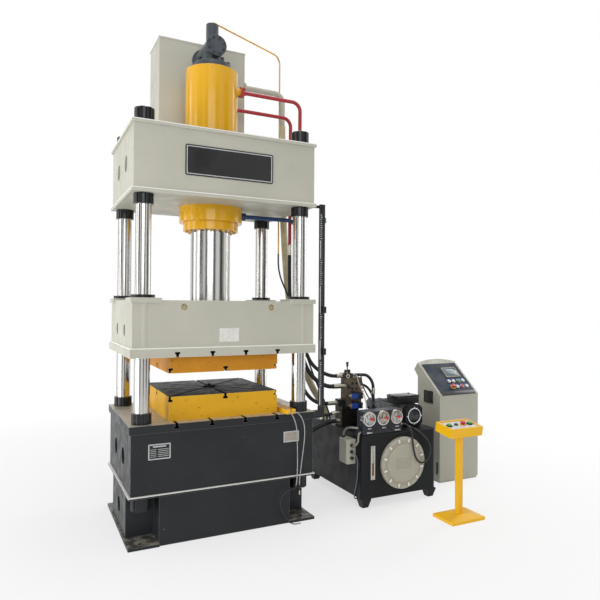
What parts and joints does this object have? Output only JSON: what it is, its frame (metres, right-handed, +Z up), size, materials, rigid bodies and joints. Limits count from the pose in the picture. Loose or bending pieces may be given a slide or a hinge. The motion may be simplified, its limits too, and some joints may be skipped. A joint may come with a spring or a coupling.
{
  "type": "hydraulic extrusion press",
  "caption": "Four-column hydraulic press: a slide with a slotted die is driven down by a top cylinder, fed by a power unit with gauges and run from a desk cabinet and a button stand.",
  "frame": {"origin": "on the floor under the press axis, in the middle of the four anchor holes", "axes": "+X to the right along the press front, +Y to the back, +Z up"},
  "size_m": [4.1305, 2.136, 4.911],
  "materials": {
    "beige_paint": "satin paint",
    "dark_paint": "satin paint",
    "yellow_paint": "gloss paint",
    "black_steel": "blackened",
    "chrome": "polished",
    "slate_paint": "satin paint",
    "copper": "drawn tube",
    "red_paint": "gloss paint",
    "blue_paint": "gloss paint",
    "bare_aluminium": "drawn",
    "bright_steel": "plated",
    "phosphated_steel": "phosphated",
    "coil_blue": "moulded",
    "black_plastic": "moulded",
    "red_plastic": "moulded",
    "green_plastic": "moulded",
    "white_plastic": "moulded",
    "screen": "screen",
    "hose_rubber": "matt",
    "cream_hose": "satin",
    "grey_cable": "satin"
  },
  "bodies": {
    "frame": {"crown_frame": "beige_paint", "upper_tank": "beige_paint", "return_pipe": "beige_paint", "tank_cover": "beige_paint", "junction_box": "beige_paint", "cabinet_body": "beige_paint", "bed_frame": "dark_paint", "oil_tank": "dark_paint", "gauge_panel": "dark_paint", "control_panel": "dark_paint", "lower_die": "yellow_paint", "cylinder_barrel": "yellow_paint", "cylinder_gland": "yellow_paint", "button_stand": "yellow_paint", "light_curtain_bars": "yellow_paint", "column_nuts": "black_steel", "rail_brackets": "black_steel", "machine_bolts": "black_steel", "motor_body": "black_steel", "columns": "chrome", "cylinder_head": "slate_paint", "prefill_valve": "slate_paint", "prefill_cover": "slate_paint", "pump": "slate_paint", "pilot_tube": "copper", "red_pipes": "red_paint", "blue_pipe": "blue_paint", "switch_rail": "bare_aluminium", "level_gauge": "bare_aluminium", "gauge_cases": "bright_steel", "hose_ends": "bright_steel", "valve_manifold": "phosphated_steel", "solenoid_valves": "coil_blue", "panel_lamps": "white_plastic", "stand_panel": "white_plastic", "panel_screen": "screen", "hose_a": "hose_rubber", "hose_b": "hose_rubber", "hose_c": "hose_rubber", "bed_hose": "hose_rubber", "pilot_hose": "hose_rubber", "sensor_cable": "hose_rubber", "return_hose": "cream_hose", "curtain_cable_left": "grey_cable", "curtain_cable_right": "grey_cable"},
    "slide": {"slide_frame": "beige_paint", "guide_bushes": "black_steel", "ram": "chrome", "upper_die": "yellow_paint"},
    "gauge_needle_left": {"gauge_needle_left": "red_plastic"},
    "gauge_needle_middle": {"gauge_needle_middle": "red_plastic"},
    "gauge_needle_right": {"gauge_needle_right": "red_plastic"},
    "start_button": {"start_button": "green_plastic"},
    "stop_button": {"stop_button": "red_plastic"},
    "emergency_button": {"emergency_button": "red_plastic"},
    "run_button_left": {"run_button_left": "green_plastic"},
    "jog_button": {"jog_button": "black_plastic"},
    "stand_stop_button": {"stand_stop_button": "red_plastic"},
    "run_button_right": {"run_button_right": "green_plastic"},
    "valve_lever": {"valve_lever": "black_plastic"}
  },
  "joints": [
    {"name": "slide_travel", "type": "slide", "parent": "frame", "child": "slide", "axis": [0, 0, 1], "range_m": [-0.2, 0.6]},
    {"name": "gauge_needle_left_turn", "type": "hinge", "parent": "frame", "child": "gauge_needle_left", "pos_m": [1.49, -0.63, 0.908], "axis": [0, 1, 0], "range_deg": [-230, 40], "stiffness_Nm_per_rad": 0.2},
    {"name": "gauge_needle_middle_turn", "type": "hinge", "parent": "frame", "child": "gauge_needle_middle", "pos_m": [1.656, -0.63, 0.908], "axis": [0, 1, 0], "range_deg": [-230, 40], "stiffness_Nm_per_rad": 0.2},
    {"name": "gauge_needle_right_turn", "type": "hinge", "parent": "frame", "child": "gauge_needle_right", "pos_m": [1.822, -0.63, 0.908], "axis": [0, 1, 0], "range_deg": [-230, 40], "stiffness_Nm_per_rad": 0.2},
    {"name": "start_button_press", "type": "slide", "parent": "frame", "child": "start_button", "axis": [0, 0.6293, -0.7771], "range_m": [0, 0.005], "stiffness_N_per_m": 1500},
    {"name": "stop_button_press", "type": "slide", "parent": "frame", "child": "stop_button", "axis": [0, 0.6293, -0.7771], "range_m": [0, 0.005], "stiffness_N_per_m": 1500},
    {"name": "emergency_button_press", "type": "slide", "parent": "frame", "child": "emergency_button", "axis": [0, 0.6293, -0.7771], "range_m": [0, 0.005], "stiffness_N_per_m": 1500},
    {"name": "run_button_left_press", "type": "slide", "parent": "frame", "child": "run_button_left", "axis": [0, 0.1392, -0.9903], "range_m": [0, 0.005], "stiffness_N_per_m": 1500},
    {"name": "jog_button_press", "type": "slide", "parent": "frame", "child": "jog_button", "axis": [0, 0.1392, -0.9903], "range_m": [0, 0.005], "stiffness_N_per_m": 1500},
    {"name": "stand_stop_button_press", "type": "slide", "parent": "frame", "child": "stand_stop_button", "axis": [0, 0.1392, -0.9903], "range_m": [0, 0.005], "stiffness_N_per_m": 1500},
    {"name": "run_button_right_press", "type": "slide", "parent": "frame", "child": "run_button_right", "axis": [0, 0.1392, -0.9903], "range_m": [0, 0.005], "stiffness_N_per_m": 1500},
    {"name": "valve_lever_turn", "type": "hinge", "parent": "frame", "child": "valve_lever", "pos_m": [1.547, -0.075, 1.339], "axis": [1, 0, 0], "range_deg": [-20, 20], "stiffness_Nm_per_rad": 8}
  ]
}
